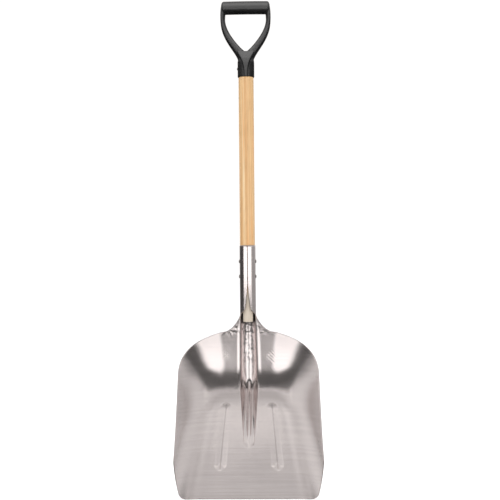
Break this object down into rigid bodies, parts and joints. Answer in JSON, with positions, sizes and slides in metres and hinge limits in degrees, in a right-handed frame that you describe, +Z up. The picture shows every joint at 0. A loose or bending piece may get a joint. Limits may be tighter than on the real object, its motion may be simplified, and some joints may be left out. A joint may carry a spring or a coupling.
{
  "type": "snow shovel",
  "caption": "Scoop shovel for snow or grain: pressed aluminium pan blade with rolled open socket, hardwood shaft and moulded D-grip.",
  "frame": {"origin": "middle of the crossbar's underside, where the tool hangs on a hook; on the shaft's axis", "axes": "+Z up along the shaft from the cutting edge to the grip, +X to the right, the hollow side of the blade facing -Y"},
  "size_m": [0.3712, 0.1594, 1.2396],
  "materials": {
    "blade_aluminium": "mill finish, finely brushed, slightly rippled where the press has drawn the sheet",
    "ash_wood": "clear-lacquered straight-grained ash",
    "black_plastic": "satin black, fine moulded texture",
    "rivet_metal": "smooth domed heads"
  },
  "bodies": {
    "root": {"scoop_blade": "blade_aluminium", "wood_shaft": "ash_wood", "d_grip": "black_plastic", "socket_rivet_upper": "rivet_metal", "socket_rivet_lower": "rivet_metal", "grip_rivet": "rivet_metal"}
  },
  "joints": []
}
